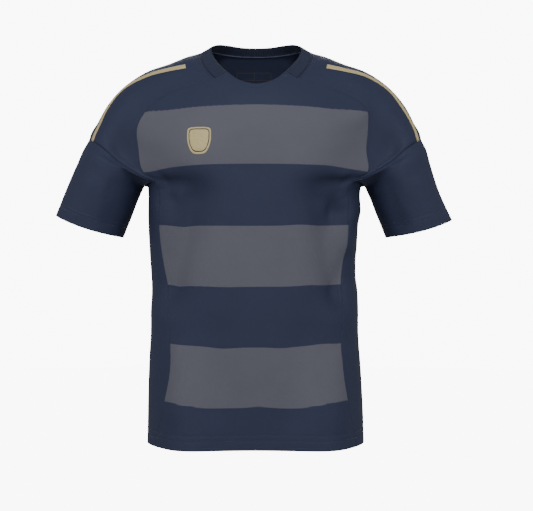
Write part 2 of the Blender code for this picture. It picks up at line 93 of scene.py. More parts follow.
cut = {
    "roundness": 2.5,          # 2 is an ellipse, more is squarer
    "risePower": 6,            # how late, going outward, a section's sides start to rise
    # where a shoulder is fullest on its way up from a seam, ring by ring
    "roundPlaces": (0.5, 0.5, 0.5, 0.5, 0.52, 0.57, 0.63, 0.70, 0.75),
    "panelMiddle": 0.58,       # where a panel's fullness is set, as a share of its seam's distance
    "sleeveTape": 0.375,       # the columns keep the tape's place below its end
    "tapeWidth": 0.012,
    # the jersey leans a little to its left at the neck and at the hem
    "leanHeights": (-0.700, -0.640, -0.520, -0.200, -0.100, 0.030),
    "leanShifts": (0.002, 0.0018, 0, 0, 0.0026, 0.0032),
    # columns of cells across each sheet, and where the extra ones beside a sewn edge lie
    "frontHalf": 42,
    "backHalf": 38,
    "side": 36,
    "beforeTape": 18,
    "tape": 6,
    "behindTape": 34,
    "closeColumns": (0, 0.22, 0.5, 0.85),
    "samples": 60,             # points worked out on each stretch of a ring
    "turnSamples": 240,        # and on each stretch of a body or sleeve section
    "rowsPerSpan": {
        "yoke": (9, 7, 9, 9, 9, 9, 9, 7),
        "body": (4, 9, 14, 15, 15, 14, 14, 17),
        "sleeve": (6, 11, 13, 14),
    },
}
neckRing = 1                   # the collar's seam
tapeRing = 2                   # the tape starts here
lastRing = len(yokeRings) - 1  # the drop seam, level with the underarms


def atMm(x, y, z):
    return np.array([x, y, z], float) * mm


def flipped(points):
    return points * np.array([-1.0, 1.0, 1.0])


def unit(vectors):
    length = np.linalg.norm(vectors, axis=-1, keepdims=True)
    return vectors / np.maximum(length, 1e-9)


def eased(share):
    share = np.clip(share, 0, 1)
    return share * share * (3 - 2 * share)


def curveThrough(points, knots, at):
    # a smooth curve that passes each point at its knot
    points = np.asarray(points, float)
    knots = np.asarray(knots, float)
    shape = (-1,) + (1,) * (points.ndim - 1)
    spans = np.diff(knots).reshape(shape)
    slopes = np.diff(points, axis=0) / spans
    middle = (slopes[:-1] * spans[1:] + slopes[1:] * spans[:-1]) / (spans[1:] + spans[:-1])
    tangents = np.concatenate([slopes[:1], middle, slopes[-1:]])
    span = np.clip(np.searchsorted(knots, at, side="right") - 1, 0, len(knots) - 2)
    width = np.diff(knots)[span]
    t = ((at - knots[span]) / width).reshape(shape)
    width = width.reshape(shape)
    return (
        (2 * t**3 - 3 * t**2 + 1) * points[span]
        + (t**3 - 2 * t**2 + t) * width * tangents[span]
        + (3 * t**2 - 2 * t**3) * points[span + 1]
        + (t**3 - t**2) * width * tangents[span + 1]
    )


def lengthsAlong(points, axis=0):
    steps = np.linalg.norm(np.diff(points, axis=axis), axis=-1)
    start = np.zeros_like(np.take(steps, [0], axis=axis))
    return np.concatenate([start, np.cumsum(steps, axis=axis)], axis=axis)


def readAlong(places, along, values):
    # the values found at some places along a line
    return np.stack([np.interp(places, along, values[:, axis]) for axis in range(3)], axis=-1)


def spacedAt(points, shares):
    along = lengthsAlong(points)
    return readAlong(np.asarray(shares) * along[-1], along, points)


def columnShares(cells, closeStart, closeEnd):
    # even columns, with a few close ones beside a sewn edge
    close = np.array(cut["closeColumns"])
    shares = np.arange(cells + 1, dtype=float)
    if closeStart:
        shares = np.concatenate([close, shares[1:]])
    if closeEnd:
        shares = np.concatenate([shares[:-1], cells - close[::-1]])
    return shares / cells


def overArm(points, tapeStart):
    # front to back over the arm, with a column along both edges of the tape
    tapeEnd = tapeStart + cut["tapeWidth"] / lengthsAlong(points)[-1]
    shares = np.concatenate([
        columnShares(cut["beforeTape"], True, False) * tapeStart,
        np.linspace(tapeStart, tapeEnd, cut["tape"] + 1)[1:],
        tapeEnd + columnShares(cut["behindTape"], False, True)[1:] * (1 - tapeEnd),
    ])
    return spacedAt(points, shares)


def roundedOut(seam, top, centre, bulge, share):
    # the fullest point between a seam and the shoulder's top, a share of the way up
    middle = seam + (top - seam) * share
    chord = unit(top - seam)
    outward = middle - centre
    outward = outward - chord * outward.dot(chord)
    return middle + unit(outward) * bulge * mm


def yokeStretches(ring, left):
    # centre front to seam, over the arm, seam to centre back
    front = atMm(0, ring.frontY, ring.frontZ)
    seam = atMm(ring.seamX - left * ring.leftSeamIn, ring.seamY, ring.seamZ)
    top = atMm(ring.topX, ring.topY, ring.topZ)
    backSeam = atMm(ring.backSeamX, ring.backSeamY, ring.backSeamZ)
    back = atMm(0, ring.backY, ring.backZ)
    centre = (seam + top + backSeam) / 3
    place = cut["roundPlaces"][yokeRings.index(ring)]
    frontMiddle = seam + (front - seam) * ring.full
    frontMiddle[0] = seam[0] * cut["panelMiddle"]
    backMiddle = backSeam + (back - backSeam) * ring.full
    backMiddle[0] = backSeam[0] * cut["panelMiddle"]
    half = np.array([
        flipped(frontMiddle),
        front,
        frontMiddle,
        seam,
        roundedOut(seam, top, centre, ring.roundFront, place),
        top,
        roundedOut(backSeam, top, centre, ring.roundBack, place),
        backSeam,
        backMiddle,
        back,
        flipped(backMiddle),
    ])
    knots = lengthsAlong(half)

    def stretch(first, last):
        places = np.linspace(knots[first], knots[last], cut["samples"] * (last - first) + 1)
        return curveThrough(half, knots, places)

    return (
        spacedAt(stretch(1, 3), columnShares(cut["frontHalf"], False, True)),
        overArm(stretch(3, 7), ring.tape),
        spacedAt(stretch(7, 9), columnShares(cut["backHalf"], True, False)),
    )


def bodyStretches(section, left):
    # centre front to seam, round the side, seam to centre back
    def place(angle):
        across = np.sin(angle)
        depth = np.cos(angle)
        power = 2 / cut["roundness"]
        x = section.sideX * np.abs(across) ** power
        reach = np.where(depth > 0, -section.frontY, section.backY)
        y = -np.sign(depth) * reach * np.abs(depth) ** power
        z = section.z + section.rise * (x / section.sideX) ** cut["risePower"]
        return np.stack([x, y, z], axis=-1) * mm

    frontSeam = section.seamX - (1 - left) * section.rightSeamIn
    half = cut["roundness"] / 2
    frontTurn = np.arcsin((frontSeam / section.sideX) ** half)
    backTurn = pi - np.arcsin((section.seamX / section.sideX) ** half)

    def stretch(first, last, shares):
        return spacedAt(place(np.linspace(first, last, cut["turnSamples"])), shares)

    return (
        stretch(0, frontTurn, columnShares(cut["frontHalf"], False, True)),
        stretch(frontTurn, backTurn, columnShares(cut["side"], True, True)),
        stretch(backTurn, pi, columnShares(cut["backHalf"], True, False)),
    )


def sleeveStretches(section, left):
    # over the arm and under it, both front to back
    outer = atMm(
        section.outerX - left * section.leftIn, 0, section.outerZ - left * section.leftDown
    )
    inner = atMm(section.innerX, 0, section.innerZ)
    centre = (outer + inner) / 2
    across = (outer - inner) / 2
    front = atMm(0, -section.depth, 0)
    turn = pi * (1 - section.under)

    def place(angle):
        points = centre + np.cos(angle)[:, None] * across + np.sin(angle)[:, None] * front
        points[:, 2] -= section.bow * mm * np.sin(angle) ** 2
        return points

    over = place(np.linspace(turn, -turn, cut["turnSamples"]))
    under = place(np.linspace(turn, 2 * pi - turn, cut["turnSamples"]))
    return overArm(over, cut["sleeveTape"]), spacedAt(under, columnShares(cut["side"], True, True))


hems = {
    "bodyLines": (0.0165, 0.0265),     # twin-needle lines above the hem's edge
    "cuffLines": (0.0185, 0.0245),
    "bodySpan": 0.077,                 # from the last section but one to the edge
    "cuffSpan": 0.052,
    "besideLine": (-1.3, 0, 1.3),      # extra rows at a line, in millimetres
    "besideEdge": (0.6, 1.5),          # and above the hem's edge
    "rowsApart": 0.9,
}


def rowStops(counts, hemLines=(), lastSpan=1.0):
    # key-row numbers of all rows, with close ones beside each hem's lines and its edge
    stops = [0.0]
    for span, count in enumerate(counts):
        stops.extend(span + np.arange(1, count + 1) / count)
    extra = []
    for line in hemLines:
        extra.extend(len(counts) - (line + step * mm) / lastSpan for step in hems["besideLine"])
    if hemLines:
        extra.extend(len(counts) - step * mm / lastSpan for step in hems["besideEdge"])
    apart = hems["rowsApart"] * mm / lastSpan
    stops = [s for s in stops if all(abs(s - e) > apart for e in extra)]
    return np.array(sorted(stops + extra))


def filledRows(rows, stops):
    # each column keeps its own spacing, so a short span beside a long one stays smooth
    rows = np.array(rows)
    along = lengthsAlong(rows)
    columns = []
    for column in range(rows.shape[1]):
        knots = along[:, column]
        places = np.interp(stops, np.arange(len(rows)), knots)
        columns.append(curveThrough(rows[:, column], knots, places))
    return np.stack(columns, axis=1)


def drawnTo(sheet, column, target):
    # moves an edge column onto its neighbour's and fades the move across the sheet
    across = lengthsAlong(sheet, axis=1).mean(axis=0)
    share = across / across[-1]
    share = eased(share if column == -1 else 1 - share)
    return sheet + (target - sheet[:, column])[:, None, :] * share[None, :, None]


yokeStops = rowStops(cut["rowsPerSpan"]["yoke"])
bodyStops = rowStops(cut["rowsPerSpan"]["body"], hems["bodyLines"], hems["bodySpan"])
sleeveStops = rowStops(cut["rowsPerSpan"]["sleeve"], hems["cuffLines"], hems["cuffSpan"])


def halfJersey(left):
    # one half, on the +X side, as named sheets of points
    rings = [yokeStretches(ring, left) for ring in yokeRings]
    sections = [bodyStretches(section, left) for section in bodySections]
    sleeves = [sleeveStretches(section, left) for section in sleeveSections]
    longStops = np.concatenate([yokeStops, lastRing + bodyStops[1:]])
    armStops = np.concatenate([yokeStops, lastRing + sleeveStops[1:]])
    front = filledRows([r[0] for r in rings] + [s[0] for s in sections[1:]], longStops)
    back = filledRows([r[2] for r in rings] + [s[2] for s in sections[1:]], longStops)
    arm = filledRows([r[1] for r in rings] + [s[0] for s in sleeves], armStops)
    under = [s[1] for s in reversed(sleeves)] + [s[1] for s in sections]
    underSleeve = len(sleeves) - sleeveStops[::-1]
    under = filledRows(under, np.concatenate([underSleeve, len(sleeves) + bodyStops[1:]]))

    yokeRows = len(yokeStops)
    sleeveRows = len(sleeveStops)
    yokeArm = arm[:yokeRows]
    yokeArm = drawnTo(yokeArm, 0, front[:yokeRows, -1])
    yokeArm = drawnTo(yokeArm, -1, back[:yokeRows, 0])
    lowArm = arm[yokeRows - 1 :].copy()
    lowArm[0] = yokeArm[-1]
    lowUnder = under[sleeveRows - 1 :: -1]
    side = under[sleeveRows - 1 :]
    side = drawnTo(side, 0, front[yokeRows - 1 :, -1])
    side = drawnTo(side, -1, back[yokeRows - 1 :, 0])
    lowUnder = drawnTo(lowUnder, 0, lowArm[:, 0])
    lowUnder = drawnTo(lowUnder, -1, lowArm[:, -1])
    side[0] = lowUnder[0]
    return {
        "front": front,
        "arm": yokeArm,
        "back": back,
        "side": side,
        "sleeveOver": lowArm,
        "sleeveUnder": lowUnder,
    }


# Folds in millimetres, seen from the front or the back: start, end, how far the middle
# bows to its right, width and depth. Troughs are above zero and ridges below.
fold = namedtuple("fold", "xTop zTop xEnd zEnd bow width depth")
frontFolds = (
    fold(-103, -230, -153, -436, -4, 38, 16.0),
    fold(112, -230, 148, -436, 4, 36, 16.0),
    fold(-66, -470, -74, -640, 0, 28, 3.0),
    fold(78, -480, 68, -650, 0, 26, 3.0),
    fold(-128, -500, -132, -640, 0, 18, -3.0),
    fold(140, -520, 146, -650, 0, 18, -3.0),
    fold(176, -350, 140, -440, 0, 16, 5.0),
    fold(198, -288, 178, -408, 0, 20, 5.0),
    fold(-236, -226, -258, -306, 0, 16, 2.5),
    fold(230, -222, 258, -310, 0, 15, 4.0),
    fold(-284, -222, -312, -290, 0, 16, -2.0),
    fold(284, -222, 316, -296, 0, 16, -2.0),
)
backFolds = (
    fold(-152, -236, -112, -318, 0, 18, 6.0),
    fold(150, -238, 116, -304, 0, 18, 5.0),
    fold(198, -288, 180, -400, 0, 20, 5.0),
    fold(-96, -250, -82, -430, 0, 28, 4.0),
    fold(90, -262, 98, -420, 0, 28, 4.0),
    fold(-30, -420, -44, -640, 0, 36, 4.0),
    fold(52, -400, 60, -620, 0, 34, 4.0),
    fold(-126, -470, -130, -630, 0, 20, -3.0),
    fold(124, -500, 132, -650, 0, 20, -3.0),
    fold(0, -60, 6, -170, 0, 40, 2.5),
    fold(-224, -218, -250, -300, 0, 15, 4.0),
    fold(222, -214, 256, -306, 0, 15, 4.0),
    fold(-286, -218, -312, -288, 0, 16, -2.0),
    fold(284, -224, 314, -294, 0, 16, -2.0),
)

# Broad dents and swells in millimetres: middle, how far it reaches towards the jersey's
# middle, towards its side, up and down, and depth
dent = namedtuple("dent", "x z inner outer up down depth")
frontDents = (
    dent(-92, -196, 50, 45, 50, 66, -4.0),
    dent(92, -196, 50, 45, 50, 66, -4.0),
    dent(-236, -170, 22, 18, 34, 30, 7.0),
    dent(238, -170, 22, 18, 34, 30, 8.0),
    dent(0, -690, 76, 76, 130, 40, 12.0),
    dent(-151, -256, 15, 14, 28, 26, 9.0),
    dent(149, -282, 16, 16, 34, 30, 13.0),
    dent(178, -246, 12, 10, 18, 20, 5.0),
    dent(-124, -720, 44, 34, 170, 60, -16.0),
    dent(130, -720, 44, 34, 170, 60, -16.0),
)
backDents = (
    dent(-86, -206, 55, 50, 55, 45, -4.0),
    dent(88, -204, 55, 50, 55, 45, -4.0),
    dent(-144, -326, 42, 20, 70, 90, 11.0),
    dent(146, -336, 42, 20, 70, 84, 11.0),
    dent(-236, -168, 22, 18, 34, 30, 6.0),
    dent(236, -170, 22, 18, 34, 30, 6.0),
    dent(6, -690, 84, 80, 120, 40, 8.0),
    dent(-150, -256, 17, 15, 26, 30, 9.0),
    dent(150, -260, 17, 15, 26, 30, 9.0),
    dent(-118, -700, 36, 34, 120, 40, -6.0),
    dent(122, -700, 36, 34, 120, 40, -6.0),
)

# Smaller creases between the folds, too fine for the model
frontCreases = (
    fold(-106, -244, -156, -446, -4, 26, 4.0),
    fold(114, -244, 150, -446, 4, 25, 4.0),
    fold(-168, -212, -150, -236, 2, 5, 1.6),
    fold(-166, -236, -160, -266, 0, 13, 3.0),
    fold(176, -216, 152, -232, -2, 5, 1.8),
    fold(170, -238, 158, -262, 2, 5, 1.0),
    fold(148, -240, 154, -286, 0, 18, 3.6),
    fold(-40, -300, -46, -396, 3, 12, 0.9),
    fold(52, -330, 50, -452, -3, 13, 0.8),
    fold(24, -560, 30, -668, 2, 10, 0.8),
    fold(-30, -575, -34, -672, -2, 11, 0.8),
    fold(104, -560, 112, -672, 3, 10, 0.9),
    fold(-100, -585, -104, -676, 2, 9, 0.8),
    fold(-246, -226, -262, -262, 2, 6, 0.9),
    fold(250, -226, 268, -270, -2, 6, 0.9),
)
backCreases = (
    fold(-170, -214, -148, -240, 2, 5, 1.6),
    fold(172, -216, 150, -238, -2, 5, 1.5),
    fold(-60, -300, -56, -410, 4, 13, 1.1),
    fold(46, -280, 40, -372, -3, 12, 1.0),
    fold(-8, -470, -14, -600, 3, 14, 1.0),
    fold(96, -560, 104, -672, 2, 10, 0.9),
    fold(-92, -570, -96, -674, -2, 10, 0.9),
    fold(26, -590, 30, -676, 2, 9, 0.8),
    fold(-206, -160, -214, -208, 3, 8, 1.4),
    fold(204, -162, 212, -210, -3, 8, 1.4),
    fold(-248, -222, -262, -264, 2, 6, 0.9),
    fold(250, -220, 266, -262, -2, 6, 0.9),
)
folding = {
    "frontToBack": 0.012,      # depth over which front folds give way to back ones
    "runOut": 0.15,            # a fold fades over this share of its length, to each side of an end
    "lipAway": 1.75,           # a crease pushes up a soft lip this many widths to each side
    "lipHeight": 0.22,
    "seamDip": 0.0002,         # how deep the cloth rolls into a seam
    "seamWidth": 0.0012,
    "stitchDip": 0.0003,
    "stitchWidth": 0.0012,
}


def foldDepth(points, folds, lips=0.0):
    depth = np.zeros(points.shape[:-1])
    for one in folds:
        start = np.array([one.xTop, one.zTop]) * mm
        run = np.array([one.xEnd, one.zEnd]) * mm - start
        length = np.linalg.norm(run)
        offset = points[..., [0, 2]] - start
        share = offset @ run / length**2
        aside = (offset[..., 1] * run[0] - offset[..., 0] * run[1]) / length
        aside = aside - one.bow * mm * 4 * share * (1 - share)
        inside = np.minimum(share, 1 - share)
        ends = eased((inside + folding["runOut"]) / (2 * folding["runOut"]))
        width = one.width * mm
        across = np.exp(-((aside / width) ** 2))
        for way in (-1, 1):
            lip = (aside + way * width * folding["lipAway"]) / width
            across = across - lips * np.exp(-(lip**2))
        depth += one.depth * mm * ends * across
    return depth


def dentDepth(points, dents):
    depth = np.zeros(points.shape[:-1])
    for one in dents:
        across = (points[..., 0] - one.x * mm) * (1 if one.x > 0 else -1)
        across = across / np.where(across > 0, one.outer, one.inner) / mm
        down = points[..., 2] - one.z * mm
        down = down / np.where(down > 0, one.up, one.down) / mm
        depth += one.depth * mm * np.exp(-(across**2) - down**2)
    return depth


def sharedNormals(sheets, openUnderarm=False):
    # outward normals, shared where sheets meet, but for the two sides of the underarm's cleft
    corners = []
    for name, sheet in sheets.items():
        tagged = np.zeros(sheet.shape[:2] + (4,))
        tagged[..., :3] = sheet
        if openUnderarm and "sleeveUnder" in name:
            tagged[0, 1:-1, 3] = 1
        corners.append(tagged.reshape(-1, 4))
    places, weld = np.unique(np.round(np.concatenate(corners), 6), axis=0, return_inverse=True)
    weld = weld.reshape(-1)
    places = places[:, :3]
    total = np.zeros_like(places)
    first = 0
    for sheet in sheets.values():
        rows, columns = sheet.shape[:2]
        index = weld[first : first + rows * columns].reshape(rows, columns)
        first += rows * columns
        square = (index[:-1, :-1], index[:-1, 1:], index[1:, 1:], index[1:, :-1])
        diagonal = places[square[3]] - places[square[1]]
        facing = np.cross(diagonal, places[square[2]] - places[square[0]])
        for corner in square:
            np.add.at(total, corner, facing)
    normals = unit(total)[weld]
    result = {}
    first = 0
    for name, sheet in sheets.items():
        count = sheet.shape[0] * sheet.shape[1]
        result[name] = normals[first : first + count].reshape(sheet.shape)
        first += count
    return result


def drapedSheets():
    # both halves, leaned and folded, with their outward normals
    sheets = {}
    flat = {}
    for side in ("right", "left"):
        for name, sheet in halfJersey(side == "left").items():
            if name == "sleeveUnder":
                sheet = sheet[:, ::-1]
            if side == "right":
                sheet = flipped(sheet)[:, ::-1]
            sheet = sheet.copy()
            sheet[..., 0] += np.interp(sheet[..., 2], cut["leanHeights"], cut["leanShifts"])
            sheets[f"{side} {name}"] = sheet
            flat[f"{side} {name}"] = sheet
    normals = sharedNormals(sheets)
    for name, sheet in flat.items():
        frontShare = 1 / (1 + np.exp(sheet[..., 1] / folding["frontToBack"]))
        lips = folding["lipHeight"]
        front = foldDepth(sheet, frontFolds) + dentDepth(sheet, frontDents)
        back = foldDepth(sheet, backFolds) + dentDepth(sheet, backDents)
        front = front + foldDepth(sheet, frontCreases, lips)
        back = back + foldDepth(sheet, backCreases, lips)
        depth = front * frontShare + back * (1 - frontShare)
        sheets[name] = sheet - normals[name] * depth[..., None]
    return sheets, flat, sharedNormals(sheets, openUnderarm=True)


def joined(sheets, names, rows=slice(None)):
    # neighbouring sheets side by side, each sharing an edge with the next
    parts = [sheets[names[0]][rows]]
    for name in names[1:]:
        parts.append(sheets[name][rows, 1:])
    return np.concatenate(parts, axis=1)


print("working out the cloth's surface")
sheets, flatSheets, normals = drapedSheets()


# Making meshes

jersey = bpy.data.collections.new("sportsJersey")
bpy.context.scene.collection.children.link(jersey)


def edgeDistances(points):
    # how far each point lies from the sheet's top, bottom, first and last edge
    down = lengthsAlong(points, axis=0)
    across = lengthsAlong(points, axis=1)
    return down, down[-1:] - down, across, across[:, -1:] - across


def dipped(points, facing, sewn, lines=(), fromEnd="bottom"):
    # rolls the cloth into its sewn edges and draws it in under lines of stitches
    away = dict(zip(("top", "bottom", "first", "last"), edgeDistances(points)))
    dip = np.zeros(points.shape[:2])
    for edge in sewn:
        roll = np.exp(-((away[edge] / folding["seamWidth"]) ** 2))
        dip = np.maximum(dip, folding["seamDip"] * roll)
    for line in lines:
        near = (away[fromEnd] - line) / folding["stitchWidth"]
        dip = dip + folding["stitchDip"] * np.exp(-(near**2))
    return points - facing * dip[..., None]


def clothPiece(name, points, finish, wall, ring=False, wallShares=None, values=None):
    # a thin shell with its weave laid out in real metres, its outer face on the given points
    rows, columns = points.shape[:2]
    kept = columns - 1 if ring else columns
    index = np.arange(rows * kept).reshape(rows, kept)
    if ring:
        index = np.concatenate([index, index[:, :1]], axis=1)
    corners = [(slice(None, -1), slice(None, -1)), (slice(1, None), slice(None, -1))]
    corners += [(slice(1, None), slice(1, None)), (slice(None, -1), slice(1, None))]
    faces = np.stack([index[c] for c in corners], axis=-1).reshape(-1, 4)
    mesh = bpy.data.meshes.new(name)
    mesh.from_pydata(points[:, :kept].reshape(-1, 3).tolist(), [], faces.tolist())
    top, first = edgeDistances(points)[::2]
    middle = columns // 2
    across = first - first[:, middle : middle + 1]
    knitMap = np.stack([across, -top], axis=-1)
    layer = mesh.uv_layers.new(name="knitMap")
    spread = np.stack([knitMap[c] for c in corners], axis=2).reshape(-1, 2)
    layer.uv.foreach_set("vector", spread.astype(np.float32).ravel())
    for label, amounts in (values or {}).items():
        attribute = mesh.attributes.new(label, "FLOAT", "POINT")
        attribute.data.foreach_set("value", amounts[:, :kept].astype(np.float32).ravel())
    mesh.shade_smooth()
    mesh.materials.append(finish)
    piece = bpy.data.objects.new(name, mesh)
    jersey.objects.link(piece)
    shell = piece.modifiers.new("wall", "SOLIDIFY")
    shell.thickness = wall
    shell.offset = -1
    if wallShares is not None:
        group = piece.vertex_groups.new(name="wall")
        flatShares = np.round(wallShares[:, :kept].reshape(-1), 2)
        for share in np.unique(flatShares):
            group.add(np.nonzero(flatShares == share)[0].tolist(), float(share), "REPLACE")
        shell.vertex_group = group.name
    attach(piece, "root")
    return piece


def joinedMesh(name, points, faces, finish):
    mesh = bpy.data.meshes.new(name)
    mesh.from_pydata(points.tolist(), [], faces)
    mesh.shade_smooth()
    mesh.materials.append(finish)
    piece = bpy.data.objects.new(name, mesh)
    jersey.objects.link(piece)
    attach(piece, "root")
    return piece


def ringFaces(first, rings, sides):
    # four-sided faces between rings of points that follow one another
    faces = []
    for ring in range(rings - 1):
        low = first + ring * sides
        for step in range(sides):
            after = (step + 1) % sides
            faces.append((low + step, low + after, low + sides + after, low + sides + step))
    return faces


sewing = {
    "pitch": 0.0029,
    "length": 0.0024,
    "radius": 0.00028,
    "proud": 0.00010,          # how high a stitch's middle lies above the cloth
    "sides": 6,
    "rings": ((-0.38, 0.78), (0.0, 1.0), (0.38, 0.78)),  # along a stitch, and how thick it is
}


def threadGrain():
    # one stitch, a small rounded grain lying along its first axis
    rings = sewing["rings"]
    sides = sewing["sides"]
    points = [(-0.5, 0.0, 0.0)]
    for along, radius in rings:
        for step in range(sides):
            turn = 2 * pi * step / sides
            points.append((along, radius * np.cos(turn), radius * np.sin(turn)))
    points.append((0.5, 0.0, 0.0))
    faces = ringFaces(1, len(rings), sides)
    low = 1 + (len(rings) - 1) * sides
    for step in range(sides):
        after = (step + 1) % sides
        faces.append((0, 1 + after, 1 + step))
        faces.append((low + step, low + after, len(points) - 1))
    size = np.array([sewing["length"], sewing["radius"], sewing["radius"]])
    return np.array(points) * size, faces


def stitchRow(path, facing):
    # stitches end to end along a path that lies on the cloth: their middles and axes
    along = lengthsAlong(path)
    count = max(2, int(round(along[-1] / sewing["pitch"])))
    places = (np.arange(count) + 0.5) * along[-1] / count
    reach = sewing["length"] / 2
    run = unit(readAlong(places + reach, along, path) - readAlong(places - reach, along, path))
    side = unit(np.cross(unit(readAlong(places, along, facing)), run))
    up = np.cross(run, side)
    return readAlong(places, along, path) + up * sewing["proud"], np.stack([run, side, up], axis=1)


def stitching(name, rows):
    grain, grainFaces = threadGrain()
    points = []
    for path, facing in rows:
        middles, axes = stitchRow(path, facing)
        points.append((middles[:, None, :] + grain @ axes).reshape(-1, 3))
    points = np.concatenate(points)
    faces = []
    for first in range(0, len(points), len(grain)):
        faces.extend(tuple(first + corner for corner in face) for face in grainFaces)
    return joinedMesh(name, points, faces, navyThread)


def lineAt(points, facing, distance, fromBottom=False):
    # the line across a sheet at one distance from its top or bottom edge
    away = edgeDistances(points)[1 if fromBottom else 0]
    if fromBottom:
        away, points, facing = away[::-1], points[::-1], facing[::-1]
    path = np.empty((points.shape[1], 3))
    up = np.empty((points.shape[1], 3))
    for column in range(points.shape[1]):
        path[column] = readAlong(distance, away[:, column], points[:, column])
        up[column] = readAlong(distance, away[:, column], facing[:, column])
    return path, unit(up)


# Finishes

def blankFinish(name, roughness, sheen=0.0, specular=0.2):
    finish = bpy.data.materials.new(name)
    finish.use_nodes = True
    shader = finish.node_tree.nodes["Principled BSDF"]
    shader.inputs["Roughness"].default_value = roughness
    shader.inputs["Specular IOR Level"].default_value = specular
    shader.inputs["Sheen Weight"].default_value = sheen
    return finish, finish.node_tree, shader


def calc(tree, operation, first, second=None):
    node = tree.nodes.new("ShaderNodeMath")
    node.operation = operation
    for socket, value in enumerate((first, second)):
        if value is None:
            continue
        if isinstance(value, (int, float)):
            node.inputs[socket].default_value = value
        else:
            tree.links.new(value, node.inputs[socket])
    return node.outputs[0]


def addedUp(tree, first, *more):
    for value in more:
        first = calc(tree, "ADD", first, value)
    return first


def mapped(tree, value, low, high, start, end):
    node = tree.nodes.new("ShaderNodeMapRange")
    tree.links.new(value, node.inputs["Value"])
    node.inputs["From Min"].default_value = low
    node.inputs["From Max"].default_value = high
    node.inputs["To Min"].default_value = start
    node.inputs["To Max"].default_value = end
    return node.outputs["Result"]


def knitAxes(tree):
    place = tree.nodes.new("ShaderNodeUVMap")
    place.uv_map = "knitMap"
    split = tree.nodes.new("ShaderNodeSeparateXYZ")
    tree.links.new(place.outputs["UV"], split.inputs[0])
    return place.outputs["UV"], split.outputs["X"], split.outputs["Y"]


loopRoot = 0.55                # how light a loop's root is, where its crown is 1
noiseMiddle = (0.3, 0.7)       # the noise's usual lowest and highest values


def knitLoops(tree, across, down, wale, course):
    # rows of small V loops, 0 between the wales and 1 on a loop's crown
    column = calc(tree, "FRACT", calc(tree, "DIVIDE", across, wale))
    slant = calc(tree, "ABSOLUTE", calc(tree, "SUBTRACT", column, 0.5))
    leg = calc(tree, "SINE", calc(tree, "MULTIPLY", column, pi))
    phase = calc(tree, "ADD", calc(tree, "DIVIDE", down, course), slant)
    loop = calc(tree, "SINE", calc(tree, "MULTIPLY", phase, 2 * pi))
    return calc(tree, "MULTIPLY", leg, mapped(tree, loop, -1, 1, loopRoot, 1.0))


def noiseValue(tree, place, scale, detail):
    noise = tree.nodes.new("ShaderNodeTexNoise")
    noise.inputs["Scale"].default_value = scale
    noise.inputs["Detail"].default_value = detail
    tree.links.new(place, noise.inputs["Vector"])
    return noise.outputs["Fac"]


def noiseShare(tree, place, scale, detail, most):
    # soft noise that runs from 0 to the most that it may add
    return mapped(tree, noiseValue(tree, place, scale, detail), *noiseMiddle, 0.0, most)


def mixed(tree, share, first, second):
    node = tree.nodes.new("ShaderNodeMix")
    node.data_type = "RGBA"
    tree.links.new(share, node.inputs["Factor"])
    for socket, value in ((6, first), (7, second)):
        if isinstance(value, tuple):
            node.inputs[socket].default_value = (*value, 1.0)
        else:
            tree.links.new(value, node.inputs[socket])
    return node.outputs[2]


def bumped(tree, shader, height, strength, distance):
    bump = tree.nodes.new("ShaderNodeBump")
    bump.inputs["Strength"].default_value = strength
    bump.inputs["Distance"].default_value = distance
    tree.links.new(height, bump.inputs["Height"])
    tree.links.new(bump.outputs["Normal"], shader.inputs["Normal"])


knitFinish = {
    "deep": (0.0148, 0.0190, 0.0425),     # painted shade between the loops
    "crown": (0.0212, 0.0268, 0.0575),    # on their crowns, where no shade is painted
    # the hoops' grey print, with the same painted shade between the loops
    "greyShadedDeep": (0.066, 0.066, 0.085),
    "greyCrown": (0.090, 0.090, 0.113),
    "wale": 0.0013,
    "course": 0.0011,
    "bump": 0.35,
    "loopHeight": 0.00022,
    "roughness": 0.66,
    "roughDeep": 0.10,         # rougher by this between the loops
    "smoothCrown": 0.06,       # and smoother by this on their crowns
    "specular": 0.22,
    "loopShadeShare": 0.62,         # how much of the way from deep to crown the loops make: the painted shade between them
    "cloud": (14, 3.0, 0.2),   # noise: scale, detail and share
    "yarn": (900, 1.0, 0.2),
    "hoopSoft": 0.012,
}


def knitNavy(name, hooped=False):
    look = knitFinish
    finish, tree, shader = blankFinish(name, look["roughness"], 0.0, look["specular"])
    place, across, down = knitAxes(tree)
    loops = knitLoops(tree, across, down, look["wale"], look["course"])
    objectPlace = tree.nodes.new("ShaderNodeTexCoord").outputs["Object"]
    # the colour: painted shade between the loops, with random tone from the two noises
    shade = addedUp(
        tree,
        calc(tree, "MULTIPLY", loops, look["loopShadeShare"]),
        noiseShare(tree, objectPlace, *look["cloud"]),
        noiseShare(tree, place, *look["yarn"]),
    )
    colour = mixed(tree, shade, look["deep"], look["crown"])
    if hooped:
        level = tree.nodes.new("ShaderNodeAttribute")
        level.attribute_name = "hoopLevel"
        wave = calc(tree, "SINE", calc(tree, "MULTIPLY", level.outputs["Fac"], pi))
        inHoop = mapped(tree, wave, look["hoopSoft"], -look["hoopSoft"], 0.0, 1.0)
        grey = mixed(tree, shade, look["greyShadedDeep"], look["greyCrown"])
        colour = mixed(tree, inHoop, colour, grey)
    tree.links.new(colour, shader.inputs["Base Color"])
    roughest = look["roughness"] + look["roughDeep"]
    rough = mapped(tree, loops, 0.0, 1.0, roughest, look["roughness"] - look["smoothCrown"])
    tree.links.new(rough, shader.inputs["Roughness"])
    bumped(tree, shader, loops, look["bump"], look["loopHeight"])
    return finish


ribFinish = {
    # painted shade in the rib's valleys and between its loops; the crest colour is the unshaded
    # knit
    "shadedValley": (0.0102, 0.0134, 0.0285),
    "crest": (0.0196, 0.0256, 0.0510),
    "wale": 0.0012,
    "course": 0.0013,
    "bump": 0.4,
    "loopHeight": 0.00025,
    "roughness": 0.88,
    "sheen": 0.04,
    "loopShadeShare": 0.25,
    "reliefShadeShare": 0.6,
    "yarn": (160, 2.0, 0.15),
}


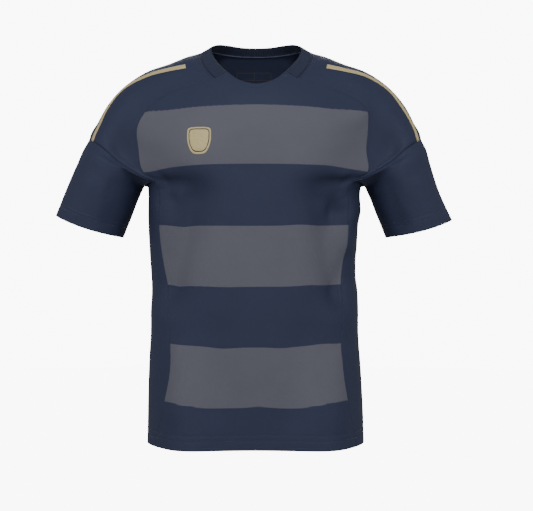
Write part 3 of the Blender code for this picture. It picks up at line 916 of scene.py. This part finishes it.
def ribNavy(name):
    look = ribFinish
    finish, tree, shader = blankFinish(name, look["roughness"], look["sheen"])
    place, across, down = knitAxes(tree)
    loops = knitLoops(tree, across, down, look["wale"], look["course"])
    relief = tree.nodes.new("ShaderNodeAttribute")
    relief.attribute_name = "ribHeight"
    # painted shade in the rib's valleys, from the same heights that raise the ribs, and between the
    # loops, with random tone
    shade = addedUp(
        tree,
        calc(tree, "MULTIPLY", loops, look["loopShadeShare"]),
        calc(tree, "MULTIPLY", relief.outputs["Fac"], look["reliefShadeShare"]),
        noiseShare(tree, place, *look["yarn"]),
    )
    tree.links.new(mixed(tree, shade, look["shadedValley"], look["crest"]), shader.inputs["Base Color"])
    bumped(tree, shader, loops, look["bump"], look["loopHeight"])
    return finish


tapeFinish = {
    # darker in the twill's grooves: painted shade
    "deep": (0.330, 0.265, 0.115),
    "crown": (0.500, 0.410, 0.195),
    "twill": 0.0011,
    "ends": 0.00055,           # the yarns' spacing across the twill
    "twillShare": 0.75,
    "bump": 0.3,
    "rise": 0.00015,
    "roughness": 0.55,
    "sheen": 0.1,
    "specular": 0.45,
    "reliefShadeShare": 0.6,
    "worn": (220, 3.0, 0.4),
}


def goldTwill(name):
    # fine slanting twill ribs with a brushed sheen
    look = tapeFinish
    finish, tree, shader = blankFinish(name, look["roughness"], look["sheen"], look["specular"])
    place, across, down = knitAxes(tree)
    slant = calc(tree, "ADD", across, down)
    twill = calc(tree, "SINE", calc(tree, "MULTIPLY", slant, 2 * pi / look["twill"]))
    ends = calc(tree, "SINE", calc(tree, "MULTIPLY", across, 2 * pi / look["ends"]))
    height = addedUp(
        tree,
        mapped(tree, twill, -1, 1, 0.0, look["twillShare"]),
        mapped(tree, ends, -1, 1, 0.0, 1 - look["twillShare"]),
    )
    # painted shade in the twill's grooves, with random wear
    shade = addedUp(
        tree,
        calc(tree, "MULTIPLY", height, look["reliefShadeShare"]),
        noiseShare(tree, place, *look["worn"]),
    )
    tree.links.new(mixed(tree, shade, look["deep"], look["crown"]), shader.inputs["Base Color"])
    bumped(tree, shader, height, look["bump"], look["rise"])
    return finish


threadFinish = {
    # dark and light of each yarn: the dark is painted shade where the ply dips
    "navyThread": ((0.011, 0.015, 0.031), (0.027, 0.035, 0.068)),
    "pipingKnit": ((0.040, 0.052, 0.100), (0.062, 0.078, 0.145)),
    "labelInk": ((0.050, 0.045, 0.040), (0.080, 0.072, 0.060)),
    "roughness": 0.6,
    "sheen": 0.2,
    "ply": (1400, 1.0),        # noise: scale and detail
    "bump": 0.4,
    "rise": 0.0001,
}


def thread(name):
    # twisted yarn: painted shade along each stitch, dark where the same noise lowers its bump
    look = threadFinish
    finish, tree, shader = blankFinish(name, look["roughness"], look["sheen"])
    place = tree.nodes.new("ShaderNodeTexCoord").outputs["Object"]
    ply = noiseValue(tree, place, *look["ply"])
    tree.links.new(mixed(tree, ply, *look[name]), shader.inputs["Base Color"])
    bumped(tree, shader, ply, look["bump"], look["rise"])
    return finish


navyKnit = knitNavy("navyKnit")
hoopedKnit = knitNavy("hoopedKnit", hooped=True)
navyRib = ribNavy("navyRib")
goldTape = goldTwill("goldTape")
navyThread = thread("navyThread")
pipingKnit = thread("pipingKnit")
labelInk = thread("labelInk")


# Panels

hoops = {
    # each edge of the three hoops, lowest first: height at centre front, and rise at the seams
    "edges": ((-0.6125, 0.0070), (-0.5105, 0.0040), (-0.4082, 0.0020),
              (-0.3055, 0.0030), (-0.2005, -0.0095), (-0.0986, -0.0075)),
    "beyond": 0.4,             # the last edges' spacing carries on this far past the hoops
    "waveHigh": 0.030,         # how far up and down a wave in an edge reaches
}
# Waves in the hoops' edges where the cloth hangs unevenly, in millimetres: middle, width
# and drop
hoopWave = namedtuple("hoopWave", "x z width drop")
hoopWaves = (
    hoopWave(-150, -100, 34, 2.2),
    hoopWave(134, -102, 28, 1.4),
    hoopWave(-178, -200, 20, 2.4),
    hoopWave(128, -200, 26, -1.2),
    hoopWave(-132, -305, 18, 2.4),
    hoopWave(78, -305, 26, -1.7),
    hoopWave(-138, -408, 16, 2.2),
    hoopWave(-48, -408, 24, 0.9),
    hoopWave(96, -408, 26, -1.8),
    hoopWave(-54, -510, 26, 2.6),
    hoopWave(46, -510, 20, 1.6),
    hoopWave(114, -510, 22, -2.5),
    hoopWave(-140, -612, 18, -3.0),
    hoopWave(-76, -612, 26, 2.1),
    hoopWave(5, -612, 24, -2.2),
    hoopWave(66, -612, 20, 2.2),
    hoopWave(138, -612, 26, -5.0),
)


def hoopDrop(points):
    drop = np.zeros(len(points))
    for one in hoopWaves:
        across = (points[:, 0] - one.x * mm) / (one.width * mm)
        up = (points[:, 2] - one.z * mm) / hoops["waveHigh"]
        drop += one.drop * mm * np.exp(-(across**2) - up**2)
    return drop


def hoopLevels(points):
    # whole numbers on the hoops' edges, smooth between them; odd to even is a hoop
    across = np.abs(lengthsAlong(points, axis=1))
    half = across[:, points.shape[1] // 2]
    share = np.abs(across - half[:, None]) / half[:, None]
    levels = np.empty(points.shape[:2])
    count = len(hoops["edges"])
    numbers = np.arange(0, count + 2, dtype=float)
    for row in range(points.shape[0]):
        heights = np.array([[z + rise * s**2 for z, rise in hoops["edges"]] for s in share[row]])
        low = heights[:, :1] - hoops["beyond"]
        high = heights[:, -1:] + hoops["beyond"]
        heights = np.concatenate([low, heights, high], axis=1)
        z = points[row, :, 2] + hoopDrop(points[row])
        levels[row] = [np.interp(z[c], heights[c], numbers) for c in range(points.shape[1])]
    return levels


walls = {
    "knit": 0.0016,            # doubled at a hem, half of it elsewhere
    "single": 0.5,
    "edge": 0.35,
    "turn": 0.002,             # the doubled cloth thins out over this much
    "round": 0.0016,           # a turned edge is rounded off over this much
    "rib": 0.0018,
    "tape": 0.0006,
}
neckLine = {"distance": 0.008, "besideRib": 0.0027}
neckRow = int(np.argmin(np.abs(yokeStops - neckRing)))
tapeRow = int(np.argmin(np.abs(yokeStops - tapeRing)))
belowRib = slice(neckRow, None)
seams = ("first", "last")


def wallShare(points, hemDeep=0.0, neckDeep=0.0):
    # single cloth, doubled where a hem is turned up, and rounded off at the turned edge
    top, bottom = edgeDistances(points)[:2]
    share = np.full(points.shape[:2], walls["single"])
    for away, deep in ((bottom, hemDeep), (top, neckDeep)):
        if deep:
            turned = eased((deep + walls["turn"] / 2 - away) / walls["turn"])
            rounded = eased(away / walls["round"])
            share = share + (1 - walls["single"]) * turned
            share = share - (share - walls["edge"]) * (1 - rounded)
    return share


def panel(name, node, order, sewn, lines=(), rows=slice(None), neck=0.0, hooped=False, ring=False):
    # one cut piece, drawn in at its seams and stitches, with its hem turned up
    facing = joined(normals, order, rows)
    points = dipped(joined(sheets, order, rows), facing, sewn, lines)
    if neck:
        points = dipped(points, facing, (), (neck,), "top")
    if ring:
        points[:, -1] = points[:, 0]
    piece = clothPiece(
        name, points, hoopedKnit if hooped else navyKnit, walls["knit"], ring,
        wallShare(points, max(lines, default=0.0), neck),
        {"hoopLevel": hoopLevels(joined(flatSheets, order))} if hooped else None,
    )
    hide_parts(node)
    return piece, points, facing


# Collar

rib = {
    "ribs": 96,                # round the whole collar
    "pointsPerRib": 8,
    "rise": 0.0007,
    "fadeTop": 0.0022,         # the ribs fade out this far from the top and from the seam
    "fadeSeam": 0.0014,
    "lip": 0.0024,             # the top edge is rounded off over this much
    "lipIn": 0.0006,
    "lipWall": 0.3,
}


def collar():
    order = ["left arm", "left back", "right back", "right arm"]
    rows = slice(0, neckRow + 1)
    shares = np.linspace(0, 1, rib["ribs"] * rib["pointsPerRib"] + 1)
    base = np.stack([spacedAt(row, shares) for row in joined(sheets, order, rows)])
    facing = joined(normals, order, rows)
    along = np.linspace(0, 1, facing.shape[1])
    facing = unit(np.stack([readAlong(shares, along, row) for row in facing]))
    wave = 0.5 - 0.5 * np.cos(2 * pi * rib["ribs"] * shares)
    top, bottom = edgeDistances(base)[:2]
    height = np.sqrt(wave)[None, :] * np.ones((base.shape[0], 1))
    height = height * eased(np.minimum(top / rib["fadeTop"], bottom / rib["fadeSeam"]))
    points = dipped(base, facing, ("bottom", *seams)) + facing * (height * rib["rise"])[..., None]
    lip = eased(top / rib["lip"])
    points = points - facing * ((1 - lip) * rib["lipIn"])[..., None]
    piece = clothPiece(
        "collarRib", points, navyRib, walls["rib"],
        wallShares=rib["lipWall"] + (1 - rib["lipWall"]) * lip, values={"ribHeight": height},
    )
    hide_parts("collar_rib")
    return piece, points, facing


# Tape over each shoulder

tape = {
    "lift": 0.0010,            # its face above the panel's
    "edgeDrop": 0.0003,        # lower by this at its edges
    "edgeWidth": 0.0015,
}


def shoulderTape(side):
    before = cut["beforeTape"] if side == "left" else cut["behindTape"]
    first = before + len(cut["closeColumns"]) - 1
    columns = slice(first, first + cut["tape"] + 1)
    panelFace = sheets[f"{side} arm"][tapeRow:, columns]
    facing = normals[f"{side} arm"][tapeRow:, columns]
    edge = np.min(edgeDistances(panelFace), axis=0)
    lift = tape["lift"] - tape["edgeDrop"] * (1 - eased(edge / tape["edgeWidth"]))
    points = panelFace + facing * lift[..., None]
    piece = clothPiece(f"shoulderTape{side.title()}", points, goldTape, walls["tape"])
    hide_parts(f"shoulder_band_{side}")
    return piece, points, facing


print("cutting the panels")
made = {
    "front": panel(
        "frontPanel", "front_panel", ["right front", "left front"], seams, hems["bodyLines"],
        neck=neckLine["distance"], hooped=True,
    ),
    "back": panel(
        "backPanel", "back_panel", ["left back", "right back"], (*seams, "top"), hems["bodyLines"],
        rows=belowRib,
    ),
}
for side in ("left", "right"):
    made[f"{side} side"] = panel(
        f"sidePanel{side.title()}", f"side_panel_{side}", [f"{side} side"], seams, hems["bodyLines"]
    )
    made[f"{side} shoulder"] = panel(
        f"shoulderPanel{side.title()}", f"shoulder_panel_{side}", [f"{side} arm"], (*seams, "top"),
        rows=belowRib,
    )
    made[f"{side} sleeve"] = panel(
        f"sleeve{side.title()}", f"sleeve_{side}",
        [f"{side} sleeveOver", f"{side} sleeveUnder"], (), hems["cuffLines"], ring=True,
    )
    made[f"{side} tape"] = shoulderTape(side)
made["collar"] = collar()


def linesOn(names, distances, fromBottom=False):
    return [
        lineAt(*made[name][1:], distance, fromBottom) for name in names for distance in distances
    ]


print("sewing")
neckStitching = stitching("neckStitching", linesOn(["front"], [neckLine["distance"]]))
collarStitching = stitching(
    "collarStitching", linesOn(["left shoulder", "back", "right shoulder"], [neckLine["besideRib"]])
)
hemStitching = stitching(
    "hemStitching", linesOn(["front", "left side", "back", "right side"], hems["bodyLines"], True)
)
cuffStitching = {
    side: stitching(
        f"cuffStitching{side.title()}", linesOn([f"{side} sleeve"], hems["cuffLines"], True)
    )
    for side in ("left", "right")
}


# Things sewn and printed on

badge = {
    # a plain heater shield, on the wearer's right breast
    "x": -0.094,
    "z": -0.157,
    "width": 0.041,
    "height": 0.047,
    "rise": 0.0006,            # its face above the knit
    # rings of points: how far out from its middle, and how much of the rise
    "rings": ((0.30, 1.0), (0.62, 1.0), (0.788, 1.0), (0.80, 0.72), (0.87, 0.72), (0.882, 1.0),
              (0.955, 1.0), (1.0, 0.75), (1.0, 0.0)),
    "lineRing": 3,             # the navy line lies between this ring, counted from 0, and the next
    "round": 72,
    "sideRound": 0.55,         # powers of the outline: less is squarer
    "topRound": 0.22,
    "pointRound": 1.15,
    "topHigh": 0.42,           # how much of the height is above its middle
    "taper": 0.10,
}
label = {
    # a printed frame inside the back of the neck: one wide cell under two small ones
    "left": -0.033,
    "right": 0.031,
    "top": -0.0128,
    "row": -0.0258,
    "bottom": -0.0560,
    "middle": -0.0005,
    "line": 0.0006,
    "step": 0.002,
    "proud": 0.00012,
}
piping = {
    "radius": 0.0011,
    "flat": 0.55,
    "sides": 8,
    "behind": 0.004,           # it starts this far behind the shoulders' middle line
    "every": 4,                # of the collar's points
    "sunk": 0.4,               # of its radius, into the rib
}
inFront = -0.5                 # where the lines that find the cloth start, in front of all of it
inside = 0.0                   # or from the middle of the jersey


def castOn(piece, x, z, startY):
    # where lines going straight back from startY meet the cloth, and the way it faces there
    reach = BVHTree.FromObject(piece, bpy.context.evaluated_depsgraph_get())
    spots = []
    facing = []
    for atX, atZ in zip(np.ravel(x), np.ravel(z)):
        spot, normal = reach.ray_cast(Vector((atX, startY, atZ)), Vector((0, 1, 0)))[:2]
        spots.append(spot)
        facing.append(normal if normal.y < 0 else -normal)
    shape = np.shape(x) + (3,)
    return np.array(spots).reshape(shape), unit(np.array(facing).reshape(shape))


def shieldEdge(turns):
    # how far the shield's edge lies from its middle, sideways and upwards
    x = np.sin(turns)
    z = np.cos(turns)
    high = badge["topHigh"] * np.abs(z) ** badge["topRound"]
    low = -(1 - badge["topHigh"]) * np.abs(z) ** badge["pointRound"]
    sideways = 0.5 * np.sign(x) * np.abs(x) ** badge["sideRound"]
    narrowed = np.where(z < 0, 1 - badge["taper"] * np.abs(z), 1.0)
    return sideways * narrowed * badge["width"], np.where(z > 0, high, low) * badge["height"]


def shield():
    count = badge["round"]
    edgeX, edgeZ = shieldEdge(np.linspace(0, 2 * pi, count, endpoint=False))
    outs, lifts = np.array(badge["rings"]).T
    x = badge["x"] + np.append(0.0, np.outer(outs, edgeX))
    z = badge["z"] + np.append(0.0, np.outer(outs, edgeZ))
    spots, facing = castOn(made["front"][0], x, z, inFront)
    up = unit(facing.mean(axis=0))
    points = spots + up * np.append(1.0, np.repeat(lifts, count))[:, None] * badge["rise"]
    faces = [(0, 1 + (step + 1) % count, 1 + step) for step in range(count)]
    faces += ringFaces(1, len(outs), count)
    marks = np.zeros(len(faces), dtype=np.int32)
    first = count * (1 + badge["lineRing"])
    marks[first : first + count] = 1
    piece = joinedMesh("chestBadge", points, faces, goldTape)
    piece.data.materials.append(navyKnit)
    piece.data.polygons.foreach_set("material_index", marks)
    corners = np.empty(len(piece.data.loops), dtype=np.int32)
    piece.data.loops.foreach_get("vertex_index", corners)
    spread = np.stack([x[corners], z[corners]], axis=1)
    layer = piece.data.uv_layers.new(name="knitMap")
    layer.uv.foreach_set("vector", spread.astype(np.float32).ravel())
    return piece


def labelPrint():
    # the frame's lines, each a thin strip that follows the cloth
    half = label["line"] / 2
    left, right, top = label["left"], label["right"], label["top"]
    lines = [((left - half, z), (right + half, z)) for z in (top, label["row"], label["bottom"])]
    for x, low in ((left, "bottom"), (label["middle"], "row"), (right, "bottom")):
        lines.append(((x, label[low]), (x, top)))
    points = []
    faces = []
    for start, end in lines:
        run = np.array(end) - np.array(start)
        steps = int(np.ceil(np.linalg.norm(run) / label["step"]))
        across = np.array([run[1], -run[0]]) / np.linalg.norm(run) * half
        middle = np.array(start) + run * np.linspace(0, 1, steps + 1)[:, None]
        both = np.stack([middle - across, middle + across], axis=1)
        spots, facing = castOn(made["back"][0], both[..., 0], both[..., 1], inside)
        first = len(points)
        points.extend((spots + facing * label["proud"]).reshape(-1, 3))
        for low in range(first, first + 2 * steps, 2):
            faces.append((low, low + 1, low + 3, low + 2))
    return joinedMesh("neckLabelPrint", np.array(points), faces, labelInk)


def neckPiping():
    # a narrow tape over the seam inside the back of the neck, from shoulder to shoulder
    path, up = (rows[-1] for rows in made["collar"][1:])
    keep = np.nonzero(path[:, 1] > piping["behind"])[0][:: piping["every"]]
    path = path[keep]
    up = up[keep]
    path = path - up * (walls["rib"] + piping["radius"] * piping["sunk"])
    side = unit(np.cross(up, unit(np.gradient(path, axis=0))))
    count = piping["sides"]
    turns = np.linspace(0, 2 * pi, count, endpoint=False)[None, :, None]
    ring = side[:, None] * np.cos(turns) + up[:, None] * np.sin(turns) * piping["flat"]
    points = path[:, None] + ring * piping["radius"]
    faces = ringFaces(0, len(path), count)
    faces.append(tuple(range(count))[::-1])
    faces.append(tuple((len(path) - 1) * count + step for step in range(count)))
    return joinedMesh("neckPiping", points.reshape(-1, 3), faces, pipingKnit)


chestBadge = shield()
neckLabelPrint = labelPrint()
neckTape = neckPiping()

# Camera, floor and lights

cameraSetup = {
    "frameWidth": 533,
    "pixelsPerMetreAtOneMetre": 1111,  # how much the lens enlarges
    "sensor": 36,
    "distance": 2.0,
    "height": -0.3555,
    "shiftPixels": 12,
}


def placeCamera():
    setup = cameraSetup
    lens = bpy.data.cameras.new("camera")
    lens.sensor_width = setup["sensor"]
    lens.lens = setup["pixelsPerMetreAtOneMetre"] * setup["sensor"] / setup["frameWidth"]
    lens.shift_x = setup["shiftPixels"] / setup["frameWidth"]
    camera = bpy.data.objects.new("camera", lens)
    camera.location = (0, -setup["distance"], setup["height"])
    camera.rotation_euler = (radians(90), 0, 0)
    bpy.context.scene.collection.objects.link(camera)
    bpy.context.scene.camera = camera


studio = {
    "floorHeight": -1.15,
    "floorRadius": 6.0,
    "wallTop": 9.0,
    "bend": 3.0,
    "bendSteps": 24,
    "sides": 96,
    "floorColour": (0.86, 0.86, 0.86),
    "floorRough": 0.9,
    "glow": 9.0,
    "skyColour": (0.95, 0.97, 1.0),
    "skyHigh": 0.46,           # the sky's light above and in front of the jersey
    "skyLow": 0.42,            # and below and behind it
    "skyFrom": (0.0, -0.55, 0.65),
}


def studioFloor():
    # a round pale floor that turns up smoothly into the wall all about
    radius, bend, sides = studio["floorRadius"], studio["bend"], studio["sides"]
    profile = [(radius, 0.0)]
    for turn in np.linspace(0, pi / 2, studio["bendSteps"] + 1)[1:]:
        profile.append((radius + bend * np.sin(turn), bend * (1 - np.cos(turn))))
    profile.append((radius + bend, studio["wallTop"]))
    points = []
    for reach, height in profile:
        for turn in np.linspace(0, 2 * pi, sides, endpoint=False):
            points.append((reach * np.cos(turn), reach * np.sin(turn), height))
    faces = [tuple(range(sides))] + ringFaces(0, len(profile), sides)
    mesh = bpy.data.meshes.new("floor")
    mesh.from_pydata(points, [], faces)
    mesh.shade_smooth()
    finish, _, shader = blankFinish("paleFloor", studio["floorRough"])
    shader.inputs["Base Color"].default_value = (*studio["floorColour"], 1.0)
    shader.inputs["Emission Color"].default_value = (1.0, 1.0, 1.0, 1.0)
    shader.inputs["Emission Strength"].default_value = studio["glow"]
    mesh.materials.append(finish)
    floor = bpy.data.objects.new("floor", mesh)
    floor.location = (0, 0, studio["floorHeight"])
    floor.visible_diffuse = False
    floor.visible_glossy = False
    floor.visible_shadow = False
    bpy.context.scene.collection.objects.link(floor)


lamp = namedtuple("lamp", "name x y z aimX aimY aimZ size power")
lamps = (
    lamp("keyLamp", 0, -4.6, 3.1, 0, 0, -0.4, 1.5, 176),
    lamp("lowFill", 0, -4.2, -0.3, 0, 0, -0.3, 1.5, 26),
    lamp("rightFill", -3.6, -1.9, 0.9, 0, 0, -0.3, 1.2, 40),
    lamp("leftFill", 3.6, -1.9, 0.9, 0, 0, -0.3, 1.2, 34),
    lamp("backLamp", 0, 2.6, 1.0, 0, 0, -0.4, 1.4, 55),
)


def hangLamps():
    for one in lamps:
        light = bpy.data.lights.new(one.name, "AREA")
        light.shape = "DISK"
        light.size = one.size
        light.energy = one.power
        holder = bpy.data.objects.new(one.name, light)
        holder.location = (one.x, one.y, one.z)
        aim = Vector((one.aimX, one.aimY, one.aimZ)) - holder.location
        holder.rotation_euler = aim.to_track_quat("-Z", "Y").to_euler()
        holder.visible_camera = False
        bpy.context.scene.collection.objects.link(holder)
    world = bpy.data.worlds.new("studio")
    world.use_nodes = True
    tree = world.node_tree
    sky = tree.nodes["Background"]
    sky.inputs["Color"].default_value = (*studio["skyColour"], 1.0)
    direction = tree.nodes.new("ShaderNodeTexCoord").outputs["Generated"]
    toward = tree.nodes.new("ShaderNodeVectorMath")
    toward.operation = "DOT_PRODUCT"
    tree.links.new(direction, toward.inputs[0])
    toward.inputs[1].default_value = studio["skyFrom"]
    strength = mapped(tree, toward.outputs["Value"], -1, 1, studio["skyLow"], studio["skyHigh"])
    tree.links.new(strength, sky.inputs["Strength"])
    bpy.context.scene.world = world


print("setting up the studio")
placeCamera()
studioFloor()
hangLamps()

print("done")
